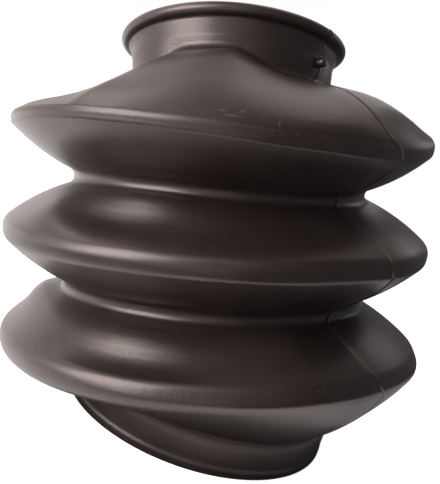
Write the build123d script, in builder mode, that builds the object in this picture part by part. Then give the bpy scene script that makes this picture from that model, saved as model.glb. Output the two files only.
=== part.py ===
from build123d import *
from math import atan2, cos, degrees, hypot, pi, radians, sin
import os

# Rubber bellows boot, in millimetres. One moulded piece: a wide lower cuff, three round
# convolutions and a short upper cuff with a rolled bead, all with one hollow running through.
# The lower rim lies on Z = 0 with its centre at the origin, +Z runs up the lower cuff and
# -Y is the front. Heights are counted along the boot's bent axis, from the lower rim up.

# --- wall and ends -------------------------------------------------------------------
wall = 2.4                      # thickness of the bellows wall

lower_bore_r = 42.0             # bore of the lower cuff
lower_cuff_wall = 3.0           # thickness of the lower cuff
lower_band_h = 8.0              # height of the cuff's thick band, with a true bore
lower_free_h = 4.0              # from the band up to where the cuff turns out
lower_lip = 0.5                 # how far the lip around the lower rim stands out
lower_lip_h = 3.0               # height of that lip

upper_bore_r = 30.0             # bore of the upper cuff
upper_cuff_wall = 2.0           # thickness of the upper cuff at its root
neck_flare = 1.6                # how much wider the cuff is under its bead than at its root
upper_free_h = 3.5              # from where the shoulder turns up to the cuff's thick band
upper_band_h = 8.4              # height of that band and the bead, with a true bore
bead_out = 3.0                  # how far the bead stands out of the cuff
bead_thick = 3.6                # thickness of the bead
band_step = 0.2                 # step from a band's outside down to the bellows wall
band_lap = 2.0                  # how far the bellows wall runs into a band

# --- bellows -------------------------------------------------------------------------
pitch = 35.0                    # from one crest to the next
first_rise = 12.5               # from the lower cuff up to the lowest crest
shoulder_rise = 16.8            # from the top crest up to the upper cuff
crest_rs = (69.5, 70.0, 68.5)   # outside of the crests, lowest first
root_rs = (49.5, 48.0)          # outside of the roots between them, lowest first
tip_rs = (6.0, 5.0, 3.4)        # outside rounding of the crests, lowest first
tip_gain = 0.8                  # the top crest's is rounder on the right, sharper on the left
root_fillet = 2.6               # outside rounding of a root
cuff_fillet = 2.6               # outside rounding where a cuff meets the bellows
flank_r = 60.0                  # the flanks between them bow out to this radius

# --- how the boot sits bent ----------------------------------------------------------
body_lean_left = 14.2           # the bellows lean to the left of the lower cuff, degrees
body_lean_back = 7.5            # and to the back
bend_x = 0.2                    # where the axis of the bellows leaves the lower cuff
bend_y = 1.4
neck_lean_left = -0.6           # the upper cuff leans further than the bellows, degrees
neck_lean_back = 13.7
neck_shift_right = 1.5          # and its root sits this far beside their axis
warp = 3.2                      # rise and fall of the top crest around its edge
warp_turn = 10.0                # where around the boot the warp is level, degrees
tilt = 1.3                      # how much higher the top crest sits on the right, lower on the left

# The shoulder meets the upper cuff below its root, but for a tab near the front.
shoulder_drop = 3.8
tab_at = -17.0                  # middle of the tab, degrees round from the front to the right
tab_half = 25.0                 # from there to where the tab has half fallen, degrees
tab_slope = 32.0                # over how many degrees it falls
shoulder_swell = 3.3            # the shoulder swells out on the right, in on the left

# --- parting line and its moulding pip -----------------------------------------------
parting_angle = 47.5            # parting line, degrees round from the front to the right
pip_angle = 55.0                # the pip, on the twisted upper cuff
pip_r = 1.5
pip_out = 3.0                   # how far the pip stands out of the cuff
pip_up = 2.6                    # how far above the upper cuff's root it sits

# --- how finely the skins are drawn --------------------------------------------------
ring_points = 24
crest_steps = 6                 # rings along a crest's round, a root's and a cuff's fillet
root_steps = 5
fillet_steps = 3
flank_steps = 3                 # rings along a flank

lower_cuff_r = lower_bore_r + lower_cuff_wall
lower_wall_r = lower_cuff_r - band_step
lower_root_h = lower_band_h + lower_free_h
crest_hs = tuple(lower_root_h + first_rise + pitch * n for n in range(len(crest_rs)))
root_hs = tuple(h + pitch / 2 for h in crest_hs[:-1])
upper_root_h = crest_hs[-1] + shoulder_rise
upper_root_r = upper_bore_r + upper_cuff_wall
upper_neck_r = upper_root_r + neck_flare
bead_r = upper_neck_r + bead_out

# Heights over the upper cuff's root.
rim_top = upper_free_h + upper_band_h
rim_under = rim_top - bead_thick
upper_band_r = upper_root_r + neck_flare * upper_free_h / rim_under
upper_wall_r = upper_band_r - band_step


# The three frames: the lower cuff is the world, the bellows and the upper cuff lean.
def leaning(plane, back, left):
    """The plane turned so that its axis leans to the back and to the left."""
    turned = plane.rotated((-back, 0, 0))
    return turned.rotated((0, -left, 0))


low_frame = Plane.XY
upright_body = Plane(origin=(bend_x, bend_y, lower_root_h))
body_frame = leaning(upright_body, body_lean_back, body_lean_left)
upright_neck = Plane(
    origin=body_frame.from_local_coords((neck_shift_right, 0, upper_root_h - lower_root_h)),
    x_dir=body_frame.x_dir,
    z_dir=body_frame.z_dir,
)
neck_frame = leaning(upright_neck, neck_lean_back, neck_lean_left)


def ease(t):
    """A smooth step from 0 to 1."""
    t = min(max(t, 0.0), 1.0)
    return t * t * (3 - 2 * t)


def warped(r, h, angle):
    """Height of a round of the bellows, with the warp and tilt of the top crest in it."""
    share = ease((h - crest_hs[1]) / pitch) * r / crest_rs[2]
    wave = warp * sin(2 * radians(angle - warp_turn))
    return h + share * (tilt * sin(radians(angle)) - wave)


def shoulder_lift(angle):
    """Where the shoulder turns up at one angle, over the upper cuff's root."""
    off = abs((angle - tab_at + 180) % 360 - 180)
    return shoulder_drop * (ease((tab_half - off) / tab_slope + 0.5) - 1)


def around(frame, r, h, angle):
    """The point of a frame at radius r, height h and an angle round from the front."""
    return frame.from_local_coords(Vector(r * sin(radians(angle)), -r * cos(radians(angle)), h))


def seen_from_body(point):
    """A point's radius, height and angle round the bellows' own axis."""
    local = body_frame.to_local_coords(point)
    return hypot(local.X, local.Y), local.Z + lower_root_h, degrees(atan2(local.X, -local.Y))


def rounds_at(angle, inset):
    """The rounds of a section at one angle: (r, h, rounding, side, own angle, steps)."""
    low_end = around(low_frame, lower_wall_r - inset, lower_band_h - band_lap, angle)
    low_turn = around(low_frame, lower_wall_r + cuff_fillet, lower_root_h, angle)
    top_turn = around(neck_frame, upper_root_r + cuff_fillet, shoulder_lift(angle), angle)
    top_end = around(neck_frame, upper_wall_r - inset, upper_free_h + band_lap, angle)
    rounds = []
    for point, rounding in ((low_end, 0), (low_turn, cuff_fillet + inset)):
        r, h, own = seen_from_body(point)
        rounds.append((r, h, rounding, -1, own, fillet_steps))
    for n, crest_h in enumerate(crest_hs):
        tip = tip_rs[n]
        if n == len(root_hs):
            tip += tip_gain * sin(radians(angle))
        crest = crest_rs[n] - tip
        h = warped(crest, crest_h, angle)
        rounds.append((crest, h, tip - inset, 1, angle, crest_steps))
        if n < len(root_hs):
            root = root_rs[n] + root_fillet
            h = warped(root, root_hs[n], angle)
            rounds.append((root, h, root_fillet + inset, -1, angle, root_steps))
    for point, rounding in ((top_turn, cuff_fillet + inset), (top_end, 0)):
        r, h, own = seen_from_body(point)
        rounds.append((r, h, rounding, -1, own, fillet_steps))
    return rounds


def at_body(r, h, own):
    """The point at a section's radius and height, round the bellows' own axis."""
    return around(body_frame, r, h - lower_root_h, own)


def flank(first, second, inset, swell):
    """Points (r, h, own angle) along the bowed and swollen flank between two rounds."""
    r0, h0, round0, side0, own0 = first[:5]
    r1, h1, round1, side1, own1 = second[:5]
    bow = flank_r - inset
    reach0 = bow - side0 * round0
    reach1 = bow - side1 * round1
    length = hypot(r1 - r0, h1 - h0)
    slope = atan2(h1 - h0, r1 - r0)
    along = (reach0**2 - reach1**2 + length**2) / (2 * length)
    across = (reach0**2 - along**2) ** 0.5
    mid_r = r0 + along * cos(slope) - across * sin(slope)
    mid_h = h0 + along * sin(slope) + across * cos(slope)
    start = atan2(h0 - mid_h, r0 - mid_r)
    end = atan2(h1 - mid_h, r1 - mid_r)
    twist = (own1 - own0 + 180) % 360 - 180
    points = []
    for step in range(flank_steps + 1):
        t = step / flank_steps
        a = start + (end - start) * t
        out = bow + swell * sin(pi * t) ** 2
        points.append((mid_r + out * cos(a), mid_h + out * sin(a), own0 + twist * t))
    return points


def turn(centre, start, end):
    """Points (r, h, own angle) along one round from start to end, both included."""
    r, h, rounding, side, own, steps = centre
    first = atan2(start[1] - h, start[0] - r)
    swing = side * ((side * (atan2(end[1] - h, end[0] - r) - first)) % (2 * pi))
    angles = [first + swing * step / steps for step in range(steps + 1)]
    return [(r + rounding * cos(a), h + rounding * sin(a), own) for a in angles]


def section(angle, inset):
    """A skin's runs of points at one angle, upwards: flanks and rounds by turns."""
    rounds = rounds_at(angle, inset)
    swells = [0.0] * (len(rounds) - 3) + [shoulder_swell * sin(radians(angle)), 0.0]
    flanks = [flank(a, b, inset, s) for a, b, s in zip(rounds[:-1], rounds[1:], swells)]
    runs = [flanks[0]]
    for n in range(1, len(flanks)):
        runs.append(turn(rounds[n], flanks[n - 1][-1], flanks[n][0]))
        runs.append(flanks[n])
    return [[at_body(*point) for point in run] for run in runs]


def half_rings(points):
    """A closed ring in two halves, which meet smoothly on the parting line."""
    half = ring_points // 2
    pace = [n / half for n in range(half + 1)]
    closed = list(points) + [points[0]]
    here = (points[1] - points[-1]) * (half / 2)
    there = (points[half + 1] - points[half - 1]) * (half / 2)
    first = Edge.make_spline(closed[: half + 1], [here, there], parameters=pace, scale=False)
    second = Edge.make_spline(closed[half:], [there, here], parameters=pace, scale=False)
    return first, second


def skin(inset):
    """A skin's bands, each a smooth loft that shares its end rings, and its two end rings."""
    angles = [parting_angle + 360 * n / ring_points for n in range(ring_points)]
    bands = []
    ends = []
    for run in zip(*[section(angle, inset) for angle in angles]):
        rings = [Wire(half_rings(points)) for points in zip(*run)]
        if bands:
            rings[0] = ends[-1]
        bands += Shell.make_loft(rings).faces()
        ends += [rings[0], rings[-1]]
    return bands, ends[0], ends[-1]


# --- the bellows ---------------------------------------------------------------------
outer_bands, outer_low, outer_high = skin(0.0)
inner_bands, inner_low, inner_high = skin(wall)
end_rings = [Face(outer_low, [inner_low]), Face(outer_high, [inner_high])]
bellows = Solid(Shell(outer_bands + inner_bands + end_rings))

# --- planes for the cuffs and the pip ------------------------------------------------
neck_section = Plane(
    origin=neck_frame.origin, x_dir=neck_frame.x_dir, z_dir=-neck_frame.y_dir
)
neck_axis = Axis(neck_frame.origin, neck_frame.z_dir)
bead_mid = rim_top - bead_thick / 2
bead_flat_r = bead_r - bead_thick / 2
pip_foot = around(neck_frame, upper_root_r - wall / 2, pip_up, pip_angle)
pip_tip = around(neck_frame, upper_root_r + pip_out, pip_up, pip_angle)

with BuildPart() as boot:
    # the hollow bellows
    add(bellows)

    # the lower cuff's band, with the lip around its rim
    with BuildSketch(Plane.XZ):
        with BuildLine():
            Polyline(
                (lower_bore_r, 0),
                (lower_cuff_r + lower_lip, 0),
                (lower_cuff_r + lower_lip, lower_lip_h),
                (lower_cuff_r, lower_lip_h + lower_lip),
                (lower_cuff_r, lower_band_h),
                (lower_bore_r, lower_band_h),
                close=True,
            )
        make_face()
    revolve(axis=Axis.Z)

    # the upper cuff's band, with the bead rolled around its rim
    with BuildSketch(neck_section):
        with BuildLine():
            Polyline(
                (upper_bore_r, rim_top),
                (upper_bore_r, upper_free_h),
                (upper_band_r, upper_free_h),
                (upper_neck_r, rim_under),
                (bead_flat_r, rim_under),
            )
            ThreePointArc((bead_flat_r, rim_under), (bead_r, bead_mid), (bead_flat_r, rim_top))
            Line((bead_flat_r, rim_top), (upper_bore_r, rim_top))
        make_face()
    revolve(axis=neck_axis)

    # the pip
    with BuildSketch(Plane(origin=pip_foot, z_dir=pip_tip - pip_foot)):
        Circle(pip_r)
    extrude(amount=(pip_tip - pip_foot).length)

boot.part.label = "bellows_boot"
os.makedirs("parts", exist_ok=True)
export_step(boot.part, "parts/bellows_boot.step")
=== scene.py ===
"""A moulded rubber bellows boot on a pale floor, laid out as a Blender add-on."""

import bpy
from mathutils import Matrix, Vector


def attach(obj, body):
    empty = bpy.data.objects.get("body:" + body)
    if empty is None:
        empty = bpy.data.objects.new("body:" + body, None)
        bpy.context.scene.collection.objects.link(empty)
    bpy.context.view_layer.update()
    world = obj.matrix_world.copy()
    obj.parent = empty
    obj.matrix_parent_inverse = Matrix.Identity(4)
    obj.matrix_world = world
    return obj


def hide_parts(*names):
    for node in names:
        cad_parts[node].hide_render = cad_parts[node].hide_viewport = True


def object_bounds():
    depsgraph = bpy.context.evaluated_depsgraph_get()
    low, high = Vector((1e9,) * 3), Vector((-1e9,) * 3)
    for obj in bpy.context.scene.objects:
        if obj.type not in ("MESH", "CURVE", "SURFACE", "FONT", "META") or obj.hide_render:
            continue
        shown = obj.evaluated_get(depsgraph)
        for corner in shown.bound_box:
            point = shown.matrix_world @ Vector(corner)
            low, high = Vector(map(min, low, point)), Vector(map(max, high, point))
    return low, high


bl_info = {
    "name": "Rubber bellows boot",
    "version": (1, 0, 0),
    "blender": (4, 5, 0),
    "location": "3D View > Sidebar > Bellows Boot",
    "description": "Builds a moulded rubber bellows boot, its rubber and its stage",
    "category": "Add Mesh",
}

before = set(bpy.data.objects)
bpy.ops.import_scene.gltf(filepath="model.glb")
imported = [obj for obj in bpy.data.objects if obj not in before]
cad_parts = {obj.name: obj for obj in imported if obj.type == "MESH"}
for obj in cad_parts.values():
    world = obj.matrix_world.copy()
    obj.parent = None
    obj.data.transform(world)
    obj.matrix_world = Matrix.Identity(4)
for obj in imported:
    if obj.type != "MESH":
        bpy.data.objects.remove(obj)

from bisect import bisect
from math import atan2, cos, exp, hypot, pi, radians, sin

import bpy
from bpy.props import FloatProperty, FloatVectorProperty, IntProperty, PointerProperty
from bpy.types import Operator, Panel, PropertyGroup
from mathutils import Matrix, Vector, noise

CAD_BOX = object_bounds()
NODE = "bellows_boot"
BODY = "root"
MM = 0.001

# Stations count the rounds up the outside. 0 is the lower cuff, 1 the fillet over it, 2, 4
# and 6 are the crests, 3 and 5 the roots, 7 is the upper cuff's fillet and 8 that cuff.
LOWER_CUFF = 0
UPPER_CUFF = 8


# --- sizes and colours ---------------------------------------------------------------
def length(name, description, millimetres):
    """A length that the user may change, with its default in millimetres."""
    return FloatProperty(
        name=name, description=description, default=millimetres * MM, unit="LENGTH", precision=5
    )


def turn(name, description, angle):
    """An angle that the user may change, with its default in degrees."""
    return FloatProperty(
        name=name, description=description, default=radians(angle), subtype="ANGLE"
    )


def number(name, description, value):
    """A plain number that the user may change."""
    return FloatProperty(name=name, description=description, default=value)


def tint(name, description, colour):
    """A linear colour that the user may change."""
    return FloatVectorProperty(
        name=name, description=description, default=colour, subtype="COLOR", size=3,
        min=0.0, max=1.0,
    )


class CuffSizes(PropertyGroup):
    """The wide lower cuff with its lip and the narrow upper cuff with its bead."""

    lower_bore_r: length("Lower bore", "Bore radius of the lower cuff", 42.0)
    lower_cuff_r: length("Lower cuff", "Outside radius of the lower cuff", 45.0)
    lower_root_h: length("Lower root", "Where the lower cuff turns out", 12.0)
    lower_band_h: length("Lower band", "Height of the lower cuff's true bore", 8.0)
    lower_lip: length("Lip", "How far the lower rim's lip stands out", 0.3)
    lower_lip_h: length("Lip height", "Height of the lower rim's lip", 3.0)
    upper_bore_r: length("Upper bore", "Bore radius of the upper cuff", 30.0)
    upper_root_r: length("Upper root", "Outside radius of the upper cuff's root", 32.0)
    upper_neck_r: length("Upper neck", "Outside radius under the bead", 33.6)
    upper_root_h: length("Upper root height", "Where the upper cuff starts", 111.3)
    upper_band_h: length("Upper band", "Where the upper cuff's true bore starts", 114.8)
    rim_h: length("Rim", "Height of the bead's top", 123.2)
    bead_r: length("Bead", "Outside radius of the bead", 36.6)
    bead_thick: length("Bead thickness", "Thickness of the bead", 3.6)
    cuff_fillet: length("Cuff fillet", "Round where a cuff meets the bellows", 2.6)


class BellowsSizes(PropertyGroup):
    """The three convolutions and the two roots between them."""

    wall: length("Wall", "Thickness of the bellows wall", 2.4)
    pitch: length("Pitch", "From one crest to the next", 35.0)
    low_crest_h: length("Lowest crest", "Height of the lowest crest", 24.5)
    low_crest_r: length("Low crest radius", "Outside of the lowest crest", 69.5)
    mid_crest_r: length("Middle crest radius", "Outside of the middle crest", 70.0)
    top_crest_r: length("Top crest radius", "Outside of the top crest", 68.5)
    low_root_r: length("Low root radius", "Outside of the lower root", 49.5)
    top_root_r: length("Top root radius", "Outside of the upper root", 48.0)
    low_tip_r: length("Low crest round", "Outside rounding of the lowest crest", 6.0)
    mid_tip_r: length("Middle crest round", "Outside rounding of the middle crest", 5.0)
    top_tip_r: length("Top crest round", "Outside rounding of the top crest", 3.4)
    tip_gain: length("Top crest's swing", "Rounder on the right, sharper on the left", 0.8)
    root_fillet: length("Root round", "Outside rounding of a root", 2.6)
    flank_r: length("Flank bow", "Radius that the flanks bow out to", 60.0)


class BendSizes(PropertyGroup):
    """How the soft boot sits bent on its lower rim, and how its shoulder meets the cuff."""

    body_left: turn("Lean left", "The bellows lean to the left of the lower cuff", 14.2)
    body_back: turn("Lean back", "The bellows lean to the back of the lower cuff", 7.5)
    bend_x: length("Bend x", "Where the bellows' axis leaves the lower cuff", 0.2)
    bend_y: length("Bend y", "Where the bellows' axis leaves the lower cuff", 1.4)
    neck_left: turn("Neck left", "The upper cuff leans further to the left", -0.6)
    neck_back: turn("Neck back", "The upper cuff leans further to the back", 13.7)
    neck_shift: length("Neck shift", "How far right the upper cuff sits of the axis", 1.5)
    warp: length("Warp", "Rise and fall of the top crest around its edge", 3.2)
    warp_turn: turn("Warp turn", "Where around the boot the warp is level", 10.0)
    tilt: length("Tilt", "How much the top crest rises right and sinks left", 1.3)
    shoulder_drop: length("Shoulder drop", "How far under its root it meets the cuff", 3.8)
    tab_at: turn("Tab", "Middle of the shoulder's tab, from the front", -17.0)
    tab_rise: length("Tab rise", "How far the tab stands over the upper root", 1.3)
    tab_half: turn("Tab width", "From there to where the tab has half fallen", 25.0)
    tab_slope: turn("Tab slope", "Over what angle the tab falls", 32.0)
    swell: length("Swell", "How far the shoulder swells right and sinks left", 3.3)


class SkinSizes(PropertyGroup):
    """The marks of the mould, the skin's waves and how finely the skin is drawn."""

    parting: turn("Parting line", "Where the parting line runs, from the front", 47.5)
    pip_at: turn("Pip", "Where the pip sits, from the front", 50.0)
    flash_high: length("Flash height", "How far the parting line's flash stands", 0.18)
    flash_wide: length("Flash width", "Width of the parting line's flash", 0.7)
    groove_deep: length("Groove depth", "Depth of the groove beside the flash", 0.3)
    pip_r: length("Pip radius", "Radius of the moulding pip", 1.5)
    pip_out: length("Pip length", "How far the pip stands out of the cuff", 3.0)
    pip_h: length("Pip height", "Height of the pip", 112.4)
    rim_wave: length("Rim wave", "Rise of the bead at the front and the back", 0.6)
    rim_turn: turn("Rim turn", "How far left of the front the bead is highest", 20.0)
    ripple: length("Ripple", "Slow unevenness of the soft skin", 0.35)
    columns: IntProperty(
        name="Columns", description="Columns of faces round the boot", default=264
    )


class RubberLook(PropertyGroup):
    """Colours and finish of the rubber."""

    dark: tint("Rubber", "Main colour of the rubber", (0.0095, 0.0066, 0.0060))
    bloom: tint("Bloom", "Paler bloom on the rubber's skin", (0.020, 0.0155, 0.0145))
    worn: tint("Worn", "Rubber scuffed along the crests", (0.075, 0.062, 0.058))
    roughness: number("Roughness", "Roughness of the smoothest rubber", 0.27)
    grain: number("Grain", "How strongly the grain of the mould shows", 0.38)


class StageSizes(PropertyGroup):
    """The camera and the floor."""

    distance: length("Distance", "From the boot's axis to the camera", 281.57)
    rise: length("Rise", "How far the camera stands above the top crest", 2.69)
    pitch: turn("Look down", "How far the camera looks down", 8.145)
    yaw: turn("Look across", "How far the camera looks to the right", 0.333)
    roll: turn("Roll", "How far the camera is turned about its view", 4.172)
    focal: number("Focal length", "Focal length in millimetres", 68.914)
    floor: tint("Floor", "Colour of the floor", (0.86, 0.86, 0.86))


def settings(name):
    """One of the groups of values, by its name."""
    return getattr(bpy.context.scene, "boot_" + name)


# --- frames ----------------------------------------------------------------------------
class Place:
    """An origin with three axes, which a section is drawn in."""

    def __init__(self, origin, axes):
        self.origin = origin
        self.axes = axes

    def out(self, local):
        """A point of this frame in the object's frame."""
        return self.origin + self.axes @ local

    def back(self, point):
        """A point of the object's frame in this frame."""
        return self.axes.transposed() @ (point - self.origin)

    def leaning(self, back, left):
        """The same origin, leaning to the back and to the left."""
        turned = Matrix.Rotation(-left, 3, "Y") @ Matrix.Rotation(-back, 3, "X")
        return Place(self.origin, turned @ self.axes)


def frames():
    """The lower cuff's frame, the bellows' and the upper cuff's."""
    cuff = settings("cuffs")
    bend = settings("bend")
    low = Place(Vector(), Matrix.Identity(3))
    foot = Vector((bend.bend_x, bend.bend_y, cuff.lower_root_h))
    body = Place(foot, Matrix.Identity(3)).leaning(bend.body_back, bend.body_left)
    root = Vector((bend.neck_shift, 0, cuff.upper_root_h - cuff.lower_root_h))
    neck = Place(body.out(root), body.axes).leaning(bend.neck_back, bend.neck_left)
    return low, body, neck


def spoke(r, h, angle):
    """A point at a radius, a height and an angle round from the front."""
    return Vector((r * sin(angle), -r * cos(angle), h))


def ease(t):
    """A smooth step from 0 to 1."""
    t = min(max(t, 0.0), 1.0)
    return t * t * (3 - 2 * t)


def bump(x, width):
    """A smooth hill of height 1 about x = 0."""
    return exp(-0.5 * (x / width) ** 2)


def swing(a, b):
    """The turn from angle b to angle a, between minus and plus half a circle."""
    return (a - b + pi) % (2 * pi) - pi


# --- the section -------------------------------------------------------------------------
class Section:
    """The boot's section at any angle, drawn from the same sizes as the solid."""

    def __init__(self):
        self.cuff = settings("cuffs")
        self.bellows = settings("bellows")
        self.bend = settings("bend")
        self.skin = settings("skin")
        self.low, self.body, self.neck = frames()
        b = self.bellows
        c = self.cuff
        self.crest_rs = (b.low_crest_r, b.mid_crest_r, b.top_crest_r)
        self.tip_rs = (b.low_tip_r, b.mid_tip_r, b.top_tip_r)
        self.root_rs = (b.low_root_r, b.top_root_r)
        self.crest_hs = [b.low_crest_h + b.pitch * n for n in range(3)]
        self.root_hs = [b.low_crest_h + b.pitch * (n + 0.5) for n in range(2)]
        self.taper = (c.upper_neck_r - c.upper_root_r) / (
            c.rim_h - c.bead_thick - c.upper_root_h
        )
        self.band_foot = c.upper_band_h - c.upper_root_h
        self.band_r = c.upper_root_r + self.taper * self.band_foot
        self.rim_top = c.rim_h - c.upper_root_h
        self.rim_under = self.rim_top - c.bead_thick

    def warped(self, r, h, angle):
        """Height of a round, with the warp and tilt of the top crest in it."""
        share = ease((h - self.crest_hs[1]) / self.bellows.pitch) * r / self.crest_rs[2]
        wave = self.bend.warp * sin(2 * (angle - self.bend.warp_turn))
        return h + share * (self.bend.tilt * sin(angle) - wave)

    def shoulder_lift(self, angle):
        """Where the shoulder meets the upper cuff, over its root, and the tab's rise there."""
        bend = self.bend
        share = ease((bend.tab_half - abs(swing(angle, bend.tab_at))) / bend.tab_slope + 0.5)
        return bend.shoulder_drop * (share - 1), bend.tab_rise * share

    def seen(self, point):
        """A point's radius, height and angle round the bellows' own axis."""
        local = self.body.back(point)
        height = local.z + self.cuff.lower_root_h
        return hypot(local.x, local.y), height, atan2(local.x, -local.y)

    def rounds(self, angle, inset):
        """The rounds upwards at one angle: (r, h, rounding, side, own angle)."""
        c = self.cuff
        b = self.bellows
        low_end = self.low.out(spoke(c.lower_cuff_r - inset, c.lower_band_h, angle))
        low_turn = self.low.out(spoke(c.lower_cuff_r + c.cuff_fillet, c.lower_root_h, angle))
        lift, rise = self.shoulder_lift(angle)
        if not inset:
            lift += rise
        top_r = c.upper_root_r + c.cuff_fillet + max(lift, 0) * self.taper
        top_turn = self.neck.out(spoke(top_r, lift, angle))
        top_end = self.neck.out(spoke(self.band_r - inset, self.band_foot, angle))
        rounds = []
        for point, rounding in ((low_end, 0), (low_turn, c.cuff_fillet + inset)):
            r, h, own = self.seen(point)
            rounds.append((r, h, rounding, -1, own))
        for n, crest_h in enumerate(self.crest_hs):
            tip = self.tip_rs[n]
            if n == len(self.root_hs):
                tip += b.tip_gain * sin(angle)
            r = self.crest_rs[n] - tip
            rounds.append((r, self.warped(r, crest_h, angle), tip - inset, 1, angle))
            if n < len(self.root_hs):
                r = self.root_rs[n] + b.root_fillet
                h = self.warped(r, self.root_hs[n], angle)
                rounds.append((r, h, b.root_fillet + inset, -1, angle))
        for point, rounding in ((top_turn, c.cuff_fillet + inset), (top_end, 0)):
            r, h, own = self.seen(point)
            rounds.append((r, h, rounding, -1, own))
        return rounds

    def flank(self, first, second, inset, swell, steps):
        """Points (r, h, own angle, lean) of the bowed and swollen flank between two rounds."""
        r0, h0, round0, side0, own0 = first
        r1, h1, round1, side1, own1 = second
        bow = self.bellows.flank_r - inset
        reach0 = bow - side0 * round0
        reach1 = bow - side1 * round1
        span = hypot(r1 - r0, h1 - h0)
        slope = atan2(h1 - h0, r1 - r0)
        along = (reach0**2 - reach1**2 + span**2) / (2 * span)
        across = (reach0**2 - along**2) ** 0.5
        mid_r = r0 + along * cos(slope) - across * sin(slope)
        mid_h = h0 + along * sin(slope) + across * cos(slope)
        start = atan2(h0 - mid_h, r0 - mid_r)
        end = atan2(h1 - mid_h, r1 - mid_r)
        twist = swing(own1, own0)
        points = []
        for step in range(steps + 1):
            t = step / steps
            a = start + (end - start) * t
            out = bow + swell * sin(pi * t) ** 2
            points.append((mid_r + out * cos(a), mid_h + out * sin(a), own0 + twist * t, a))
        return points

    def lift(self, r, h, own):
        """A point of the bellows' section in the object's frame."""
        return self.body.out(spoke(r, h - self.cuff.lower_root_h, own))

    def bellows_points(self, angle, inset, round_steps, flank_steps):
        """The bellows' points upwards: (point, outward normal, station).

        A round takes the half station about its own number, a flank the half between two
        rounds. The last flank, up the upper cuff's foot, has half as many steps again.
        """
        rounds = self.rounds(angle, inset)
        swells = [0.0] * (len(rounds) - 3) + [self.bend.swell * sin(angle), 0.0]
        counts = [flank_steps] * (len(rounds) - 2) + [flank_steps * 3 // 2]
        flanks = [
            self.flank(a, b, inset, swell, count)
            for a, b, swell, count in zip(rounds[:-1], rounds[1:], swells, counts)
        ]
        points = []
        for n, flank in enumerate(flanks):
            if n > 0:
                r, h, rounding, side, own = rounds[n]
                back = 0 if side > 0 else pi
                first = flanks[n - 1][-1][3] + back
                turned = side * ((side * (flank[0][3] + back - first)) % (2 * pi))
                steps = round_steps[side]
                for step in range(steps + 1):
                    a = first + turned * step / steps
                    at = self.lift(r + rounding * cos(a), h + rounding * sin(a), own)
                    normal = self.body.axes @ spoke(side * cos(a), side * sin(a), own)
                    points.append((at, normal, n - 0.25 + 0.5 * step / steps))
            for step in range(1 if n > 0 else 0, counts[n]):
                r, h, own, lean = flank[step]
                normal = self.body.axes @ spoke(cos(lean), sin(lean), own)
                points.append((self.lift(r, h, own), normal, n + 0.25 + 0.5 * step / counts[n]))
        return points

    def ring_points(self, place, corners, angle, station):
        """Points of a cuff's profile, from its corners (r, h, out_r, out_h)."""
        points = []
        for r, h, out_r, out_h in corners:
            normal = place.axes @ spoke(out_r, out_h, angle).normalized()
            lift = self.rim_lift(h, angle) if station == UPPER_CUFF else 0.0
            points.append((place.out(spoke(r, h + lift, angle)), normal, station))
        return points

    def rim_lift(self, h, angle):
        """How far the bead's wave lifts a point of the upper cuff."""
        wave = self.skin.rim_wave * cos(2 * (angle + self.skin.rim_turn))
        return wave * ease(h / self.rim_under)


def arc(r, h, rounding, first, last, steps):
    """Corners along an arc of a cuff's profile, angles in degrees."""
    corners = []
    for step in range(steps + 1):
        a = radians(first + (last - first) * step / steps)
        out = (cos(a), sin(a))
        corners.append((r + rounding * out[0], h + rounding * out[1], *out))
    return corners


def run(start, end, out, steps):
    """Corners along a straight of a cuff's profile, its ends left out."""
    corners = []
    for step in range(1, steps):
        t = step / steps
        corners.append(
            (start[0] + (end[0] - start[0]) * t, start[1] + (end[1] - start[1]) * t, *out)
        )
    return corners


# steps of a crest's round (1) and a root's (-1), and of a flank, outside and in the lining
OUTER_ROUNDS = {1: 16, -1: 12}
OUTER_FLANK = 9
INNER_ROUNDS = {1: 6, -1: 9}
INNER_FLANK = 5

EDGE = 0.5 * MM             # rounding of the rims' inner edges
LIP_FADE = 0.55             # share of the lip's height over which it fades into the cuff
BEAD_FILLET = 0.9 * MM      # round under the bead
BEAD_UNDER = -80            # degrees, where that round meets the bead
NECK_SLOPE = -0.15          # how far the neck's skin faces downwards


def lower_outside(section):
    """The lower cuff's profile, from the rim's inner edge out and up to the band's top."""
    c = section.cuff
    inner = c.lower_bore_r + EDGE
    foot = 2 * EDGE
    outer = c.lower_cuff_r + c.lower_lip - foot
    profile = arc(inner, EDGE, EDGE, 180, 270, steps=3)
    profile += run((inner, 0), (outer, 0), (0, -1), steps=4)
    profile += arc(outer, foot, foot, 270, 360, steps=4)
    fade = LIP_FADE * c.lower_lip_h
    steps = 8
    for step in range(steps + 1):
        t = step / steps
        out = c.lower_lip * ease(1 - t)
        slope = 6 * t * (1 - t) * c.lower_lip / fade
        profile.append((c.lower_cuff_r + out, c.lower_lip_h - fade * (0.5 - t), 1, slope))
    end = (c.lower_cuff_r, c.lower_lip_h + 0.5 * fade)
    return profile + run(end, (c.lower_cuff_r, c.lower_band_h), (1, 0), steps=4)


def upper_outside(section):
    """The upper cuff's profile, from the band's foot up, over the bead and down the bore."""
    c = section.cuff
    half = c.bead_thick / 2
    outer = c.bead_r - half
    inner = c.upper_bore_r + EDGE
    top = section.rim_top
    band = (section.band_r, section.band_foot)
    neck = (c.upper_neck_r, section.rim_under - BEAD_FILLET)
    bore = (c.upper_bore_r, section.band_foot)
    profile = [(*band, 1, 0)]
    profile += run(band, neck, (1, NECK_SLOPE), steps=7)
    profile += arc(neck[0] + BEAD_FILLET, neck[1], -BEAD_FILLET, 0, BEAD_UNDER, steps=5)
    profile += arc(outer, section.rim_under + half, half, BEAD_UNDER, 90, steps=16)
    profile += run((outer, top), (inner, top), (0, 1), steps=5)
    profile += arc(inner, top - EDGE, EDGE, 90, 180, steps=3)
    return profile + run((c.upper_bore_r, top - EDGE), bore, (-1, 0), steps=6)


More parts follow.
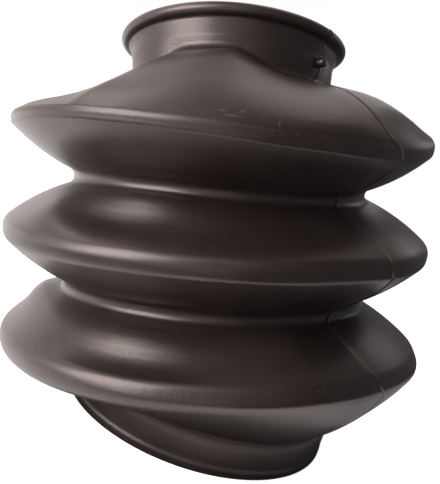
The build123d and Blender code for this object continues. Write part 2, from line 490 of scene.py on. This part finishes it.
def outline(section, angle):
    """The closed outline at one angle: (point, outward normal, station, outside)."""
    foot = section.ring_points(section.low, lower_outside(section), angle, LOWER_CUFF)
    skin = section.bellows_points(angle, 0.0, OUTER_ROUNDS, OUTER_FLANK)
    head = section.ring_points(section.neck, upper_outside(section), angle, UPPER_CUFF)
    lining = section.bellows_points(angle, section.bellows.wall, INNER_ROUNDS, INNER_FLANK)
    lining = [(at, -normal, station) for at, normal, station in reversed(lining)]
    band = (section.cuff.lower_bore_r, section.cuff.lower_band_h)
    tube = [(*band, -1, 0)]
    tube += run(band, (section.cuff.lower_bore_r, EDGE), (-1, 0), steps=3)
    inside = section.ring_points(section.low, tube, angle, LOWER_CUFF)
    outer = [(*row, True) for row in foot + skin + head]
    return outer + [(*row, False) for row in lining + inside]


FINE_COLUMNS = (0.14, 0.28, 0.42, 0.58, 0.78, 1.05)     # degrees off a parting line


def column_angles(skin):
    """Angles of the columns, close together beside both parting lines."""
    step = 2 * pi / skin.columns
    angles = [skin.parting + step * n for n in range(skin.columns)]
    for line in (skin.parting, skin.parting + pi):
        for offset in FINE_COLUMNS:
            angles += [line + radians(offset), line - radians(offset)]
    return sorted(a % (2 * pi) for a in angles)


PARTING_PATH = (
    # the front parting line: station, degrees round from the front
    (0, 50), (1.4, 50), (1.75, 50), (2, 46), (2.3, 43.5), (2.6, 42), (2.9, 44), (3.4, 52),
    (3.75, 48), (4.1, 45), (4.5, 44), (4.9, 46), (5.4, 51), (5.75, 49), (6, 47), (6.3, 42),
    (6.5, 38.5), (6.75, 39), (7.1, 47), (7.3, 51.5), (8, 50),
)
PATH_BLUR = (-0.12, -0.04, 0.04, 0.12)      # stations up and down that round its corners off
WANDER_REACH = radians(26)                  # how far to each side the columns follow it


def along_path(path, at):
    """The path's value at a station, straight between its points."""
    for (first, a), (last, b) in zip(path[:-1], path[1:]):
        if at <= last:
            return a + (b - a) * (at - first) / (last - first)
    return path[-1][1]


def wander(section, angle, station):
    """How far the columns slide round with the front parting line at a station."""
    off = abs(swing(angle, section.skin.parting))
    if off > WANDER_REACH:
        return 0.0
    near = [min(max(station + step, LOWER_CUFF), UPPER_CUFF) for step in PATH_BLUR]
    middle = sum(along_path(PARTING_PATH, at) for at in near) / len(near)
    return ease(1 - off / WANDER_REACH) * (radians(middle) - section.skin.parting)


# --- the skin's unevenness ---------------------------------------------------------------
DENTS = (
    # degrees round, station, how wide in degrees, how tall in stations, millimetres out
    (-27, 4.49, 13, 0.09, -3.2),     # the middle fold's dent, left of the front
    (-23, 4.71, 12, 0.06, 1.2),      # the swelling over it
    (-50, 4.42, 8, 0.14, 0.9),       # the soft ridge beside its left end
    (4, 4.42, 14, 0.09, -0.7),
    (-22, 2.36, 15, 0.085, -1.9),    # the lowest fold's shallow dent
    (-20, 2.60, 16, 0.08, 0.8),
    (-50, 6.36, 9, 0.07, -1.5),      # the shoulder's hollow on the left
    (-36, 6.36, 3, 0.10, 0.9),       # the ridge at the hollow's edge
    (-50, 6.17, 11, 0.03, 0.5),
    (33, 6.33, 15, 0.08, 1.0),       # the shoulder's full right side
    (88, 6.48, 20, 0.07, -1.3),      # and its flatter far end
    (70, 6.66, 18, 0.05, 1.0),
    (15, 6.55, 20, 0.10, -0.5),
    (-88, 2.58, 18, 0.08, 2.2),      # the lowest fold's full left side
    (92, 1.80, 18, 0.12, 1.5),       # and its full right tip
    (82, 1.45, 18, 0.10, -1.2),
    (5, 1.93, 45, 0.07, 0.6),        # the lowest crest's edge, low at the front
    (0, 0.86, 30, 0.12, 0.25),       # the fold over the lower cuff
)
CREST_LINES = (
    # the hollow and the ridge under a crest's edge: station, how tall, millimetres out
    (5.94, 0.05, -0.10),
    (5.81, 0.05, 0.10),
    (3.94, 0.05, -0.10),
    (3.81, 0.05, 0.10),
    (1.88, 0.05, -0.12),
)
FADED = 4                       # a hill is left out past this many of its own widths

SLOW_WAVES = ((28.0, 1.0), (61.0, 0.5))     # the soft skin's ripple: waves to the metre, share

PINCH_AT = radians(-4)          # the pinched ridge under the tab: its middle
PINCH_HALF = radians(26)        # from there to its end
PINCH_STATION = 6.67            # where its middle runs
PINCH_DROP = 0.11               # how many stations lower its ends run
PINCH_TALL = 0.055              # its height, in stations
PINCH_OUT = 1.2 * MM            # how far it stands out
PINCH_ENDS = 0.7                # under 1, so that its ends rise steeply

MARK_FOOT = 1.3                 # station that the parting line's mark starts at
MARK_INSET = 0.3 * MM           # how far inside the neck's radius it still shows
RIDGE = (0.6, 0.4)              # where its flash lies and how wide, in flash widths
GROOVE = (-0.2, 0.3)            # and the same of its groove


def marked(section, at, station):
    """Whether the parting line's mark shows at a point of the outside."""
    if station < UPPER_CUFF:
        return station > MARK_FOOT
    local = section.neck.back(at)
    return hypot(local.x, local.y) > section.cuff.upper_neck_r - MARK_INSET


def parting_mark(section, offset, r):
    """Height of the parting line's flash and of the groove beside it, front and back."""
    skin = section.skin
    height = 0.0
    for side in (0, pi):
        across = swing(offset, side) * r
        if abs(across) < FADED * skin.flash_wide:
            ridge = bump(across - RIDGE[0] * skin.flash_wide, RIDGE[1] * skin.flash_wide)
            groove = bump(across - GROOVE[0] * skin.flash_wide, GROOVE[1] * skin.flash_wide)
            height += skin.flash_high * ridge - skin.groove_deep * groove
    return height


def pinched(angle, station):
    """Height of the pinched ridge along the top of the shoulder, under the tab."""
    off = abs(swing(angle, PINCH_AT)) / PINCH_HALF
    level = PINCH_STATION - PINCH_DROP * off
    rise = max(0.0, 1 - off) ** PINCH_ENDS * bump(station - level, PINCH_TALL)
    return PINCH_OUT * rise


def dented(angle, station):
    """How far the dents and swellings push the wall out at a point."""
    height = 0.0
    for around, level, wide, tall, out in DENTS:
        if abs(station - level) < FADED * tall:
            off = swing(angle, radians(around)) / radians(wide)
            height += out * MM * bump(off, 1.0) * bump(station - level, tall)
    return height


def unevenness(section, at, angle, station, offset):
    """How far the skin stands out of its true form at a point."""
    slow = sum(part * noise.noise(at * often) for often, part in SLOW_WAVES)
    soft = ease(min(station, UPPER_CUFF - station))
    height = section.skin.ripple * soft * slow + dented(angle, station)
    for level, tall, out in CREST_LINES:
        if abs(station - level) < FADED * tall:
            height += out * MM * bump(station - level, tall)
    height += pinched(angle, station)
    if marked(section, at, station):
        height += parting_mark(section, offset, section.seen(at)[0])
    return height


# --- objects -----------------------------------------------------------------------------
def deselect():
    """Nothing is selected, and no object is in edit mode."""
    if bpy.context.object and bpy.context.object.mode != "OBJECT":
        bpy.ops.object.mode_set(mode="OBJECT")
    bpy.ops.object.select_all(action="DESELECT")


LINING = -1.0           # station of every point of the lining
WELD = 1e-7             # points closer than this are merged
SHARP = radians(50)     # edges sharper than this aren't smoothed
PIP_ROUND = 0.6         # share of the pip's radius that its ends are rounded by


def slid_loops(section, angles):
    """The outlines at all angles, slid round with the parting line and made uneven.

    Each loop is a list of (point, station, angle), and the lining's stations are -1. The
    lining follows the dents alone.
    """
    outlines = [outline(section, angle) for angle in angles]
    count = len(angles)
    loops = []
    for angle in angles:
        offset = angle - section.skin.parting
        loop = []
        for ring, (_, _, station, outside) in enumerate(outlines[0]):
            slid = (angle + wander(section, angle, station)) % (2 * pi)
            right = bisect(angles, slid) % count
            left = right - 1
            gap = (angles[right] - angles[left]) % (2 * pi)
            t = ((slid - angles[left]) % (2 * pi)) / gap
            at = outlines[left][ring][0].lerp(outlines[right][ring][0], t)
            normal = outlines[left][ring][1].lerp(outlines[right][ring][1], t).normalized()
            if outside:
                at = at + normal * unevenness(section, at, slid, station, offset)
            else:
                at = at - normal * dented(slid, station)
            loop.append((at, station if outside else LINING, swing(slid, 0)))
        loops.append(loop)
    return loops


def make_skin(section):
    """A sheet of quads, rolled round the boot and closed."""
    angles = column_angles(section.skin)
    columns = len(angles)
    loops = slid_loops(section, angles)
    rings = len(loops[0])
    bpy.ops.mesh.primitive_grid_add(x_subdivisions=columns, y_subdivisions=rings, size=1)
    boot = bpy.context.object
    mesh = boot.data
    places = []
    stations = []
    turns = []
    for ring in range(rings + 1):
        for column in range(columns + 1):
            at, station, around = loops[column % columns][ring % rings]
            places += at[:]
            stations.append(station)
            turns.append(around)
    mesh.vertices.foreach_set("co", places)
    for name, values in (("station", stations), ("around", turns)):
        mesh.attributes.new(name, "FLOAT", "POINT").data.foreach_set("value", values)
    bpy.ops.object.mode_set(mode="EDIT")
    bpy.ops.mesh.select_all(action="SELECT")
    bpy.ops.mesh.remove_doubles(threshold=WELD)
    bpy.ops.mesh.normals_make_consistent(inside=False)
    bpy.ops.object.mode_set(mode="OBJECT")
    return boot


def make_pip(section):
    """The moulding pip on the upper cuff, a stub with a rounded end."""
    skin = section.skin
    c = section.cuff
    h = skin.pip_h - c.upper_root_h
    foot = section.neck.out(spoke(c.upper_root_r - section.bellows.wall / 2, h, skin.pip_at))
    tip = section.neck.out(spoke(c.upper_root_r + skin.pip_out, h, skin.pip_at))
    along = tip - foot
    bpy.ops.mesh.primitive_cylinder_add(
        vertices=24,
        radius=skin.pip_r,
        depth=along.length,
        location=(foot + tip) / 2,
        rotation=along.to_track_quat("Z", "Y").to_euler(),
    )
    pip = bpy.context.object
    bevel = pip.modifiers.new("rounded end", "BEVEL")
    bevel.width = PIP_ROUND * skin.pip_r
    bevel.segments = 4
    bpy.ops.object.modifier_apply(modifier=bevel.name)
    bpy.ops.object.transform_apply(location=True, rotation=True, scale=True)
    return pip


# --- materials ---------------------------------------------------------------------------
class Sock:
    """A node socket that ordinary arithmetic works on."""

    def __init__(self, nodes, socket):
        self.nodes = nodes
        self.socket = socket

    def maths(self, operation, a, b):
        """A Math node on two values."""
        return self.nodes.add("ShaderNodeMath", {"operation": operation}, {0: a, 1: b})

    def __add__(self, other):
        return self.maths("ADD", self, other)

    def __radd__(self, other):
        return self.maths("ADD", other, self)

    def __sub__(self, other):
        return self.maths("SUBTRACT", self, other)

    def __rsub__(self, other):
        return self.maths("SUBTRACT", other, self)

    def __mul__(self, other):
        return self.maths("MULTIPLY", self, other)

    def __rmul__(self, other):
        return self.maths("MULTIPLY", other, self)

    def size(self):
        """The value without its sign."""
        return self.maths("ABSOLUTE", self, 0.0)

    def clamp(self, low, high):
        """The value, taken from low..high to 0..1 and held there."""
        return self.nodes.add(
            "ShaderNodeMapRange", {"clamp": True}, {0: self, 1: low, 2: high, 3: 0.0, 4: 1.0}
        )


class Nodes:
    """The node tree of one material or of the world."""

    def __init__(self, owner):
        owner.use_nodes = True
        self.tree = owner.node_tree
        self.tree.nodes.clear()

    def add(self, kind, options=None, values=None, output=0):
        """One node: its options, then its sockets' values or links. Gives one output."""
        node = self.tree.nodes.new(kind)
        for name, value in (options or {}).items():
            setattr(node, name, value)
        for name, value in (values or {}).items():
            socket = node.inputs[name]
            if isinstance(value, Sock):
                self.tree.links.new(value.socket, socket)
            else:
                socket.default_value = value
        return Sock(self, node.outputs[output]) if node.outputs else node

    def noise(self, coordinates, scale, detail=2.0, roughness=0.5):
        """Smooth noise from 0 to 1."""
        values = {"Vector": coordinates, "Scale": scale, "Detail": detail, "Roughness": roughness}
        return self.add("ShaderNodeTexNoise", values=values)

    def attribute(self, name):
        """A value kept on the mesh."""
        return self.add("ShaderNodeAttribute", {"attribute_name": name}, output="Fac")

    def near(self, value, middle, reach):
        """1 where the value is at the middle, 0 at the reach from it and beyond."""
        return 1.0 - (value - middle).size().clamp(0.0, reach)

    def rays(self):
        """1 for a ray of the camera's, for a glossy ray and for a ray through clear glass."""
        names = ("Is Camera Ray", "Is Glossy Ray", "Is Transmission Ray")
        return [self.add("ShaderNodeLightPath", output=name) for name in names]

    def light(self, kind, colour, strength):
        """A shader that glows, on a surface or in the world."""
        return self.add("ShaderNode" + kind, values={"Color": colour, "Strength": strength})

    def blend(self, factor, a, b):
        """A shader between a and b."""
        return self.add("ShaderNodeMixShader", values={0: factor, 1: a, 2: b})

    def along(self, vector, direction):
        """How far a vector goes along a direction."""
        values = {0: vector, 1: direction}
        return self.add("ShaderNodeVectorMath", {"operation": "DOT_PRODUCT"}, values, output=1)

    def mix(self, factor, a, b):
        """A colour between a and b."""
        values = {"Factor": factor, 6: a, 7: b}
        return self.add("ShaderNodeMix", {"data_type": "RGBA"}, values, output=2)


def rgba(colour):
    """A colour with full alpha."""
    return (*colour, 1.0)


WHITE = (1.0, 1.0, 1.0, 1.0)

BLOTCH_SCALE = 35.0             # noise scales, from the widest blotches to the finest grain
GRAIN_SCALE = 900.0
SPECK_SCALE = 1500.0
FINE_SCALE = 2600.0
COMB_SCALE = 3.0
COMB_STRETCH = (42.0, 3.0)      # the streaks run up the skin: how close around, and upwards
COMB_ROUGH = 0.6
BLOTCH_EDGE = (0.42, 0.68)      # the stretch of each noise that is taken as 0 to 1
SPECK_EDGE = (0.68, 0.78)
COMB_EDGE = (0.5, 0.72)

RUBBED = (6.08, 4.06, 2.1)      # stations of the crests' rubbed edges
RUBBED_TALL = 0.12              # how far from there the rubbing fades, in stations
COMBED = (-0.09, 0.16)          # middle and reach of the combed stretch, in radians round
COMB_TALL = 0.15                # how far from the top crest's edge its streaks stand out

RUB_SHARE = 0.45                # how far the worn colour comes through where rubbed,
SPECK_SHARE = 0.25              # in the specks
SCRATCH_SHARE = 0.6             # and in the scratches
BLOOM_SHARE = 0.6               # how far the bloom's colour comes through in the blotches
BLOOM_GRAIN = 0.15              # and in the grain
BLOTCH_ROUGH = 0.08             # what the blotches and the grain add to the roughness
GRAIN_ROUGH = 0.06
GRAIN_RELIEF = 0.6              # their shares of the relief
FINE_RELIEF = 0.3
COMB_RELIEF = 0.25
RELIEF_DEEP = 0.0002            # metres
RUBBER_IOR = 1.5
GLOSS_TINT = (1.0, 0.90, 0.88, 1.0)

SCRATCHES = (
    # degrees round, station, its slant, how far it reaches in degrees, and its thickness
    (1.5, 6.268, -0.06, 2.4, 0.008),
    (3.4, 6.290, 0.45, 1.2, 0.008),
    (-1.0, 6.285, -0.10, 1.2, 0.006),
    (12.0, 6.255, 5.0, 0.35, 0.025),
)


def make_rubber():
    """Dark satin rubber: slight bloom, mould grain, rubbed specks at the crests, scratches."""
    look = settings("rubber")
    material = bpy.data.materials.new("satin rubber")
    n = Nodes(material)
    here = n.add("ShaderNodeTexCoord", output="Object")
    station = n.attribute("station")
    around = n.attribute("around")
    blotch = n.noise(here, BLOTCH_SCALE, detail=3.0)
    grain = n.noise(here, GRAIN_SCALE)
    fine = n.noise(here, FINE_SCALE, detail=1.0)
    specks = n.noise(here, SPECK_SCALE, detail=1.0).clamp(*SPECK_EDGE)
    stretched = {0: around * COMB_STRETCH[0], 1: station * COMB_STRETCH[1]}
    streaks = n.add("ShaderNodeCombineXYZ", values=stretched)
    comb = n.noise(streaks, COMB_SCALE, roughness=COMB_ROUGH).clamp(*COMB_EDGE)

    rubbed = sum(n.near(station, level, RUBBED_TALL) for level in RUBBED)
    rubbed = rubbed * (comb * n.near(around, *COMBED) + specks) * RUB_SHARE
    for turned, level, slant, long, thick in SCRATCHES:
        off = around - radians(turned)
        across = n.near(station - level - off * slant, 0.0, thick)
        rubbed = rubbed + across * n.near(off, 0.0, radians(long)) * SCRATCH_SHARE
    rubbed = (rubbed + specks * SPECK_SHARE).clamp(0.0, 1.0)

    bloom = blotch.clamp(*BLOTCH_EDGE) * BLOOM_SHARE + grain * BLOOM_GRAIN
    colour = n.mix(bloom, rgba(look.dark), rgba(look.bloom))
    relief = grain * GRAIN_RELIEF + fine * FINE_RELIEF
    relief = relief + comb * n.near(station, RUBBED[0], COMB_TALL) * COMB_RELIEF
    raised = {"Strength": look.grain, "Distance": RELIEF_DEEP, "Height": relief}
    finish = {
        "Base Color": n.mix(rubbed, colour, rgba(look.worn)),
        "Roughness": look.roughness + blotch * BLOTCH_ROUGH + grain * GRAIN_ROUGH,
        "Normal": n.add("ShaderNodeBump", values=raised),
        "IOR": RUBBER_IOR,
        "Specular Tint": GLOSS_TINT,
    }
    shader = n.add("ShaderNodeBsdfPrincipled", values=finish)
    n.add("ShaderNodeOutputMaterial", values={"Surface": shader})
    return material


# --- the stage -----------------------------------------------------------------------------
# Bearings are degrees round to the right from the camera's side of the boot, then upwards,
# both in the camera's own frame. Distances are in metres from the boot.
SENSOR = 36.0                       # width of the camera's sensor in millimetres
CLIP = 0.01                         # nothing nearer to the camera is drawn
WARM = (1.0, 0.90, 0.87, 1.0)       # tint of the room and the far floor in the gloss

FLOOR_SIZE = 6.0
# The floor glows in the boot's gloss, brighter than white, to the left and in a ring in front of
# the boot: painted light for the boot's reflections.
FLOOR_GLOW = (1.7, 1.53, 1.48, 1.0)     # the floor beside the boot, as the gloss shows it
FLOOR_STRENGTH = 0.82
FLOOR_LEFT = (-125, 0.04, 0.28)     # bearing that it brightens to, from where to where
FLOOR_FRONT = (-15, 0.0, 0.06)      # the same of the bright ring in front of the boot
RING = (0.093, 0.036)               # radius of that ring, and its reach
RING_FULL = 0.5                     # share of the reach within which it is brightest
FAR_FLOOR = (0.2, 0.7)              # from where to where the floor turns to pure white

ROOM_LIGHT = 0.5                    # light of the room on matt surfaces
DARK_SIDE = (62, 25)                # bearing of the room's dark side
DARK_EDGE = (0.3, 0.9)              # cosines off that bearing where it starts and is darkest
DARK_SHARE = 0.85                   # how dark it is there

# The card and the strips are seen only in the boot's gloss, never by the camera nor as a shadow:
# painted dark reflections, and painted shade under the boot.
PAINTED_DARK_COLOUR = (0.11, 0.11, 0.11, 1.0)
CARD_FROM = 12.0                    # bearings of the card's two ends
CARD_TO = 166.0
CARD_STEPS = 24
CARD_NEAR = 0.10                    # its edge beside the boot
CARD_STEP_OUT = 0.06                # how much farther off that edge runs past the turn
CARD_TURN = (35, 25)                # bearing of the turn, and over how many degrees
CARD_OFF = 0.40                     # where the card turns up from the floor
CARD_HIGH = 0.50                    # how high it stands there
CARD_ENDS = 0.25                    # under 1, so that its top drops steeply at both ends
CARD_LIFT = 0.0003                  # how far it lies over the floor
PAINTED_DARK_STRIPS = (
    # flat dark strips beside the boot, seen only in its gloss: their two bearings, their near and
    # their far edge
    # a painted dark band in the crests' reflections, in front of the boot
    (-75.0, 12.0, 0.135, 0.21),
    # painted shade on the floor under the boot's overhang
    (-60.0, 130.0, 0.0, 0.060),
)
LAMPS = (
    # name, bearing, upwards, how far off, width and height, watts, colour
    ("left softbox", -48, 21, 0.70, (0.52, 0.56), 10.5, (1.0, 0.94, 0.92)),
    ("front panel", -2, 38, 0.80, (0.62, 0.14), 0.5, (1.0, 0.92, 0.90)),
    ("left wall", -120, 10, 1.00, (1.50, 1.20), 4.4, (1.0, 0.88, 0.85)),
    ("right edge light", 124, 19, 0.36, (0.12, 0.10), 0.035, (1.0, 0.92, 0.90)),
    ("right back softbox", 118, 64, 1.00, (0.50, 0.50), 1.0, (1.0, 0.92, 0.90)),
    ("high softbox", -112, 64, 1.00, (0.40, 0.40), 1.3, (1.0, 0.94, 0.92)),
)


def make_camera(section):
    """The camera in front of the boot, set out from the bellows' frame. Gives its axes."""
    stage = settings("stage")
    crest = section.crest_hs[-1] - section.cuff.lower_root_h
    eye = section.body.out(Vector((0, -stage.distance, crest + stage.rise)))
    ahead = Vector((sin(stage.yaw), cos(stage.yaw), 0))
    right = Vector((cos(stage.yaw), -sin(stage.yaw), 0))
    up = Vector((0, 0, 1))
    view = cos(stage.pitch) * ahead - sin(stage.pitch) * up
    above = sin(stage.pitch) * ahead + cos(stage.pitch) * up
    side = cos(stage.roll) * right + sin(stage.roll) * above
    above = cos(stage.roll) * above - sin(stage.roll) * right
    axes = section.body.axes @ Matrix((side, above, -view)).transposed()
    data = bpy.data.cameras.new("camera")
    data.lens = stage.focal
    data.sensor_width = SENSOR
    data.sensor_fit = "HORIZONTAL"
    data.clip_start = CLIP
    camera = bpy.data.objects.new("camera", data)
    bpy.context.scene.collection.objects.link(camera)
    camera.matrix_world = Matrix.Translation(eye) @ axes.to_4x4()
    bpy.context.scene.camera = camera
    return axes


def bearing(axes, around, up):
    """The direction of a bearing, away from the boot."""
    around = radians(around)
    up = radians(up)
    return axes @ Vector((cos(up) * sin(around), sin(up), cos(up) * cos(around)))


def flat_bearing(axes, around):
    """The direction of a bearing, level with the floor."""
    way = bearing(axes, around, 0)
    return Vector((way.x, way.y, 0)).normalized()


def make_lamp(name, target, offset, size, power, colour):
    """A soft rectangular lamp at an offset from the target, facing it."""
    data = bpy.data.lights.new(name, "AREA")
    data.shape = "RECTANGLE"
    data.size, data.size_y = size
    data.energy = power
    data.color = colour
    lamp = bpy.data.objects.new(name, data)
    bpy.context.scene.collection.objects.link(lamp)
    lamp.location = target + offset
    lamp.rotation_euler = (-offset).to_track_quat("-Z", "Y").to_euler()


def make_floor(colour, axes):
    """A pale floor that shows white and keeps the boot's shadow. In the gloss it glows to the left
    and in a ring in front of the boot, a painted light for the boot's reflections.
    """
    bpy.ops.mesh.primitive_plane_add(size=FLOOR_SIZE, location=(0, 0, 0))
    floor = bpy.context.object
    floor.name = "floor"
    material = bpy.data.materials.new("pale floor")
    n = Nodes(material)
    camera, glossy, clear = n.rays()
    here = n.add("ShaderNodeTexCoord", output="Object")
    far = n.add("ShaderNodeVectorMath", {"operation": "LENGTH"}, {0: here}, output=1)
    left = n.along(here, bearing(axes, FLOOR_LEFT[0], 0)).clamp(*FLOOR_LEFT[1:])
    front = n.along(here, bearing(axes, FLOOR_FRONT[0], 0)).clamp(*FLOOR_FRONT[1:])
    ring = n.near(far, *RING).clamp(0.0, RING_FULL) * front

    paper = n.add("ShaderNodeBsdfDiffuse", values={"Color": rgba(colour)})
    glow = n.light("Emission", n.mix(camera, FLOOR_GLOW, WHITE), FLOOR_STRENGTH)
    lit = n.add("ShaderNodeAddShader", values={0: paper, 1: glow})
    # where the gloss sees the floor to the left and in the ring, it glows: painted light for the
    # boot's reflections
    beside = n.blend((camera + glossy * (left + ring)).clamp(0.0, 1.0), paper, lit)
    white = n.light("Emission", n.mix(glossy, WHITE, WARM), 1.0)
    shown = (camera + glossy + clear).clamp(0.0, 1.0) * far.clamp(*FAR_FLOOR)
    n.add("ShaderNodeOutputMaterial", values={"Surface": n.blend(shown, beside, white)})
    floor.data.materials.append(material)
    return floor


def bent_sheet(axes, rows):
    """A sheet with one row of places after another, each (bearing, distance, height)."""
    steps = len(rows[0]) - 1
    bpy.ops.mesh.primitive_grid_add(x_subdivisions=steps, y_subdivisions=len(rows) - 1, size=1)
    sheet = bpy.context.object
    places = []
    for row in rows:
        for around, off, height in row:
            place = flat_bearing(axes, around) * off
            place.z = height
            places += place[:]
    sheet.data.vertices.foreach_set("co", places)
    return sheet


def make_card(axes):
    """A curved dark card right of the boot and two flat strips, which only the boot's gloss shows:
    painted dark reflections, and painted shade under the boot.
    """
    shares = [step / CARD_STEPS for step in range(CARD_STEPS + 1)]
    near = []
    bend = []
    top = []
    for t in shares:
        around = CARD_FROM + (CARD_TO - CARD_FROM) * t
        step_out = CARD_STEP_OUT * ease((around - CARD_TURN[0]) / CARD_TURN[1])
        near.append((around, CARD_NEAR + step_out, CARD_LIFT))
        bend.append((around, CARD_OFF, CARD_LIFT))
        top.append((around, CARD_OFF, CARD_HIGH * sin(pi * t) ** CARD_ENDS))
    card = bent_sheet(axes, (near, bend, top))
    card.name = "dark_card"
    for first, last, inner, outer in PAINTED_DARK_STRIPS:
        turns = [first + (last - first) * t for t in shares]
        strip = bent_sheet(axes, [[(at, off, CARD_LIFT) for at in turns] for off in (inner, outer)])
        card.select_set(True)
        strip.select_set(True)
        bpy.context.view_layer.objects.active = card
        bpy.ops.object.join()
        deselect()
    # hidden from the camera, the light and the shadows: only a painted dark reflection
    for kind in ("camera", "diffuse", "transmission", "shadow"):
        setattr(card, "visible_" + kind, False)
    material = bpy.data.materials.new("dark card")
    n = Nodes(material)
    painted_dark = n.add("ShaderNodeBsdfDiffuse", values={"Color": PAINTED_DARK_COLOUR})
    n.add("ShaderNodeOutputMaterial", values={"Surface": painted_dark})
    card.data.materials.clear()
    card.data.materials.append(material)
    return card


def make_world(axes):
    """White where the camera looks past the floor, a soft room for the gloss and as a light."""
    world = bpy.data.worlds.new("studio")
    bpy.context.scene.world = world
    n = Nodes(world)
    camera, glossy, clear = n.rays()
    sky = n.add("ShaderNodeTexCoord", output="Generated")
    dim = n.along(sky, bearing(axes, *DARK_SIDE)).clamp(*DARK_EDGE) * DARK_SHARE
    room = n.light("Background", WHITE, ROOM_LIGHT)
    walls = n.blend(dim, n.light("Background", WARM, 1.0), n.light("Background", WHITE, 0.0))
    white = n.light("Background", WHITE, 1.0)
    lit = n.blend(glossy, room, walls)
    both = n.blend((camera + clear).clamp(0.0, 1.0), lit, white)
    n.add("ShaderNodeOutputWorld", values={"Surface": both})


# --- operators -----------------------------------------------------------------------------
class BOOT_OT_bellows(Operator):
    """Rolls the boot's skin and lining, with its pip, and gives them their rubber"""

    bl_idname = "boot.bellows"
    bl_label = "Make the boot"

    def execute(self, context):
        deselect()
        section = Section()
        boot = make_skin(section)
        deselect()
        pip = make_pip(section)
        boot.select_set(True)
        context.view_layer.objects.active = boot
        bpy.ops.object.join()
        boot.name = "moulded_boot"
        bpy.ops.object.shade_smooth_by_angle(angle=SHARP)
        boot.data.materials.clear()
        boot.data.materials.append(make_rubber())
        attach(boot, BODY)
        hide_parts(NODE)
        return {"FINISHED"}


class BOOT_OT_stage(Operator):
    """Sets out the camera, the room, the floor, the dark card and the lamps"""

    bl_idname = "boot.stage"
    bl_label = "Make the stage"

    def execute(self, context):
        deselect()
        axes = make_camera(Section())
        make_world(axes)
        make_floor(settings("stage").floor, axes)
        deselect()
        make_card(axes)
        low, high = CAD_BOX
        middle = (Vector(low) + Vector(high)) / 2
        for name, around, up, off, size, power, colour in LAMPS:
            make_lamp(name, middle, bearing(axes, around, up) * off, size, power, colour)
        context.scene.view_settings.view_transform = "Standard"
        return {"FINISHED"}


class BOOT_PT_sidebar(Panel):
    """The boot's sizes and colours, and its steps"""

    bl_idname = "BOOT_PT_sidebar"
    bl_label = "Bellows boot"
    bl_space_type = "VIEW_3D"
    bl_region_type = "UI"
    bl_category = "Bellows Boot"

    def draw(self, context):
        for name, group in GROUPS.items():
            box = self.layout.box()
            box.label(text=group.__doc__)
            for prop in group.__annotations__:
                box.prop(settings(name), prop)
        for operator in OPERATORS:
            self.layout.operator(operator.bl_idname)


GROUPS = {
    "cuffs": CuffSizes,
    "bellows": BellowsSizes,
    "bend": BendSizes,
    "skin": SkinSizes,
    "rubber": RubberLook,
    "stage": StageSizes,
}
OPERATORS = (BOOT_OT_bellows, BOOT_OT_stage)
CLASSES = (*GROUPS.values(), *OPERATORS, BOOT_PT_sidebar)


def register():
    for each in CLASSES:
        bpy.utils.register_class(each)
    for name, group in GROUPS.items():
        setattr(bpy.types.Scene, "boot_" + name, PointerProperty(type=group))


def unregister():
    for name in GROUPS:
        delattr(bpy.types.Scene, "boot_" + name)
    for each in reversed(CLASSES):
        bpy.utils.unregister_class(each)


def main():
    """Registers the classes and makes the boot and its stage."""
    register()
    bpy.ops.boot.bellows()
    bpy.ops.boot.stage()


if __name__ == "__main__":
    main()
